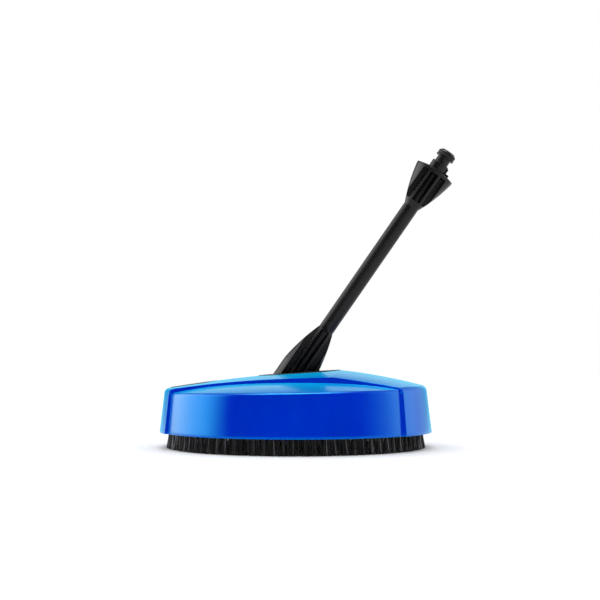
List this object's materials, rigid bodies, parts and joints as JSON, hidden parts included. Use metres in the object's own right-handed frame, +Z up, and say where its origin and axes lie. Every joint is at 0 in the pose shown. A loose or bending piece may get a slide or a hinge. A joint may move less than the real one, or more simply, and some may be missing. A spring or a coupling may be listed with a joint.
{
  "type": "surface cleaner",
  "caption": "Round spray hood on a ring of bristles with a slanting inlet lance; two jet nozzles spin under it on a water-driven rotor.",
  "frame": {"origin": "on the rotor's axis, at the ground plane that the bristles stand on", "axes": "+Z up, +X the way the lance leans and along the hood's raised band, +Y to the far side of a viewer who has the lance leaning right"},
  "size_m": [0.3052, 0.273, 0.3059],
  "materials": {
    "hood": "glossy moulded blue",
    "black_plastic": "fine-textured black moulding",
    "nipple_plastic": "satin black",
    "housing_plastic": "fine-textured black moulding",
    "carrier_plastic": "fine-textured black moulding",
    "bristle": "stiff black filaments",
    "cage": "natural moulded polyamide",
    "seal_rubber": "smooth black rubber",
    "steel": "brushed stainless",
    "arm_steel": "brushed stainless tube",
    "bearing_steel": "ground and polished",
    "screw_steel": "stainless screw",
    "brass": "machined brass"
  },
  "bodies": {
    "hood": {"hood_shell": "hood", "base_plate": "black_plastic", "front_inlay": "black_plastic", "lance": "black_plastic", "pressure_tube": "steel", "inlet_nipple": "nipple_plastic", "nipple_o_ring": "seal_rubber", "lance_screws": "screw_steel", "plate_screws": "screw_steel", "coupling_screws": "screw_steel", "carrier_screws": "screw_steel", "coupling_housing": "housing_plastic", "tube_o_ring": "seal_rubber", "spindle_seal": "seal_rubber", "snap_ring": "steel", "upper_bearing_outer_ring": "bearing_steel", "lower_bearing_outer_ring": "bearing_steel", "brush_carrier": "carrier_plastic", "bristle_ring": "bristle"},
    "rotor": {"spindle": "steel", "upper_bearing_inner_ring": "bearing_steel", "lower_bearing_inner_ring": "bearing_steel", "bearing_spacer": "steel", "rotor_hub": "brass", "hub_upper_o_ring": "seal_rubber", "hub_lower_o_ring": "seal_rubber", "hub_washer": "steel", "hub_nut": "steel", "right_arm": "arm_steel", "left_arm": "arm_steel", "right_nozzle_holder": "black_plastic", "left_nozzle_holder": "black_plastic", "right_nozzle": "brass", "left_nozzle": "brass"},
    "upper_ball_set": {"upper_bearing_balls": "bearing_steel", "upper_bearing_cage": "cage"},
    "lower_ball_set": {"lower_bearing_balls": "bearing_steel", "lower_bearing_cage": "cage"}
  },
  "joints": [
    {"name": "rotor_spin", "type": "hinge", "parent": "hood", "child": "rotor", "pos_m": [0, 0, 0.045], "axis": [0, 0, 1], "continuous": true},
    {"name": "upper_balls_spin", "type": "hinge", "parent": "hood", "child": "upper_ball_set", "pos_m": [0, 0, 0.0498], "axis": [0, 0, 1], "continuous": true},
    {"name": "lower_balls_spin", "type": "hinge", "parent": "hood", "child": "lower_ball_set", "pos_m": [0, 0, 0.0418], "axis": [0, 0, 1], "continuous": true}
  ],
  "couplings": [
    {"joint": "upper_balls_spin", "follows": "rotor_spin", "ratio": 0.4333},
    {"joint": "lower_balls_spin", "follows": "rotor_spin", "ratio": 0.4333}
  ]
}
